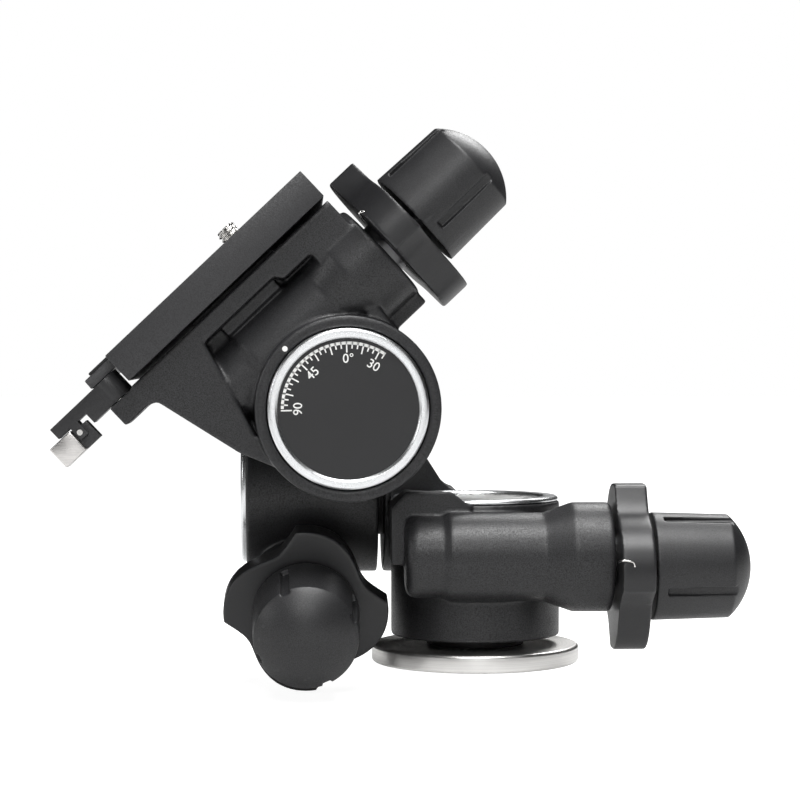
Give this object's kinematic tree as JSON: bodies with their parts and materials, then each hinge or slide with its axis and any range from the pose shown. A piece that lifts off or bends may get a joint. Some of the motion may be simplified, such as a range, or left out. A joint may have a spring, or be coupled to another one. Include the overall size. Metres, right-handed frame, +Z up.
{
  "type": "geared tripod head",
  "caption": "Camera tripod head with geared pan, side tilt and front tilt, each driven by a knob with a release ring, and a quick release plate.",
  "frame": {"origin": "centre of the base disc's underside, at the mouth of the tripod socket", "axes": "+Z up along the pan axis, +X to the right in the picture, -Y towards the viewer; the pose is the picture's, front tilt 43.5 degrees, side tilt 0"},
  "size_m": [0.1945, 0.0975, 0.1587],
  "materials": {
    "black_powder_coat": "fine textured satin black powder coat",
    "machined_aluminium": "turned, bright",
    "satin_silver": "satin anodised",
    "dial_black": "smooth dark grey with white print",
    "hub_aluminium": "turned",
    "turned_steel": "turned",
    "bronze": "machined",
    "washer_polymer": "matt",
    "spring_steel": "drawn wire",
    "knob_rubber": "fine grained",
    "ring_polymer": "fine grained",
    "pad_rubber": "matt",
    "plate_black": "satin black",
    "nickel_steel": "nickel plated",
    "tab_steel": "nickel plated, satin",
    "lever_black": "satin black"
  },
  "bodies": {
    "base": {"base_disc": "machined_aluminium", "tripod_thread_insert": "turned_steel", "pan_post": "turned_steel", "pan_ring_nut": "turned_steel", "pan_worm_wheel": "bronze", "pan_thrust_washer": "washer_polymer", "pan_dial_hub": "hub_aluminium", "pan_dial_plate": "dial_black", "pan_dial_bezel": "satin_silver"},
    "pan_body": {"pan_housing": "black_powder_coat", "pan_bush": "bronze", "side_post": "turned_steel", "side_ring_nut": "turned_steel", "side_worm_wheel": "bronze", "side_thrust_washer": "washer_polymer", "side_dial_hub": "hub_aluminium", "side_dial_plate": "dial_black", "side_dial_bezel": "satin_silver"},
    "side_body": {"side_housing": "black_powder_coat", "side_bush": "bronze", "front_post": "turned_steel", "front_ring_nut": "turned_steel", "front_worm_wheel": "bronze", "front_thrust_washer": "washer_polymer", "front_dial_hub": "hub_aluminium", "front_dial_plate": "dial_black", "front_dial_bezel": "satin_silver"},
    "front_body": {"front_housing": "black_powder_coat", "front_bush": "bronze", "quick_release_seat": "black_powder_coat", "lever_pin": "nickel_steel"},
    "locking_jaw": {"locking_jaw": "lever_black"},
    "plate": {"quick_release_plate": "plate_black", "plate_pad": "pad_rubber"},
    "camera_screw": {"camera_screw": "nickel_steel"},
    "lever": {"release_lever": "lever_black", "catch_pin": "nickel_steel"},
    "catch": {"catch_block": "lever_black", "catch_tab": "tab_steel"},
    "pan_release": {"pan_worm_carrier": "turned_steel", "pan_release_ring": "ring_polymer", "pan_return_spring": "spring_steel"},
    "pan_knob": {"pan_worm": "turned_steel", "pan_knob": "knob_rubber"},
    "side_release": {"side_worm_carrier": "turned_steel", "side_release_ring": "ring_polymer", "side_return_spring": "spring_steel"},
    "side_knob": {"side_worm": "turned_steel", "side_knob": "knob_rubber"},
    "front_release": {"front_worm_carrier": "turned_steel", "front_release_ring": "ring_polymer", "front_return_spring": "spring_steel"},
    "front_knob": {"front_worm": "turned_steel", "front_knob": "knob_rubber"}
  },
  "joints": [
    {"name": "pan", "type": "hinge", "parent": "base", "child": "pan_body", "pos_m": [0, 0, 0.03], "axis": [0, 0, 1], "continuous": true},
    {"name": "pan_release", "type": "hinge", "parent": "pan_body", "child": "pan_release", "pos_m": [0, -0.025, 0.0322], "axis": [-1, 0, 0], "range_deg": [0, 45], "stiffness_Nm_per_rad": 0.12, "springref_deg": -34.38},
    {"name": "pan_knob_turn", "type": "hinge", "parent": "pan_release", "child": "pan_knob", "pos_m": [0, -0.025, 0.0295], "axis": [1, 0, 0], "continuous": true},
    {"name": "side_tilt", "type": "hinge", "parent": "pan_body", "child": "side_body", "pos_m": [-0.0491, 0.022, 0.049], "axis": [1, 0, 0], "range_deg": [-90, 4]},
    {"name": "side_release", "type": "hinge", "parent": "side_body", "child": "side_release", "pos_m": [-0.0518, 0.02656, 0.02442], "axis": [0, 0.9833, 0.1822], "range_deg": [0, 45], "stiffness_Nm_per_rad": 0.12, "springref_deg": -34.38},
    {"name": "side_knob_turn", "type": "hinge", "parent": "side_release", "child": "side_knob", "pos_m": [-0.0491, 0.02656, 0.02442], "axis": [0, -0.9833, -0.1822], "range_deg": [-193, 4321]},
    {"name": "front_tilt", "type": "hinge", "parent": "side_body", "child": "front_body", "pos_m": [-0.0376, -0.0236, 0.0741], "axis": [0, -1, 0], "range_deg": [-70, 46.5]},
    {"name": "front_release", "type": "hinge", "parent": "front_body", "child": "front_release", "pos_m": [-0.05481, -0.0263, 0.09223], "axis": [0.7254, 0, 0.6884], "range_deg": [0, 45], "stiffness_Nm_per_rad": 0.12, "springref_deg": -34.38},
    {"name": "front_knob_turn", "type": "hinge", "parent": "front_release", "child": "front_knob", "pos_m": [-0.05481, -0.0236, 0.09223], "axis": [0.7254, 0, 0.6884], "range_deg": [-2233, 3361]},
    {"name": "lever_turn", "type": "hinge", "parent": "front_body", "child": "lever", "pos_m": [-0.09998, -0.0316, 0.07694], "axis": [-0.6884, 0, 0.7254], "range_deg": [0, 55], "stiffness_Nm_per_rad": 0.02, "springref_deg": -28.65},
    {"name": "jaw_slide", "type": "slide", "parent": "front_body", "child": "locking_jaw", "axis": [0, -1, 0], "range_m": [0, 0.0009]},
    {"name": "catch_turn", "type": "hinge", "parent": "lever", "child": "catch", "pos_m": [-0.1107, -0.0316, 0.0676], "axis": [0, -1, 0], "range_deg": [0, 15], "stiffness_Nm_per_rad": 0.01, "springref_deg": -22.92},
    {"name": "plate_slide", "type": "slide", "parent": "front_body", "child": "plate", "axis": [-0.7254, 0, -0.6884], "range_m": [0, 0.075]},
    {"name": "camera_screw_turn", "type": "hinge", "parent": "plate", "child": "camera_screw", "pos_m": [-0.06904, -0.011, 0.12133], "axis": [-0.6884, 0, 0.7254], "continuous": true}
  ],
  "couplings": [
    {"joint": "pan_knob_turn", "follows": "pan", "ratio": 48},
    {"joint": "side_knob_turn", "follows": "side_tilt", "ratio": -48},
    {"joint": "front_knob_turn", "follows": "front_tilt", "ratio": -48},
    {"joint": "jaw_slide", "follows": "lever_turn", "m_per_rad": 0.00083339}
  ]
}
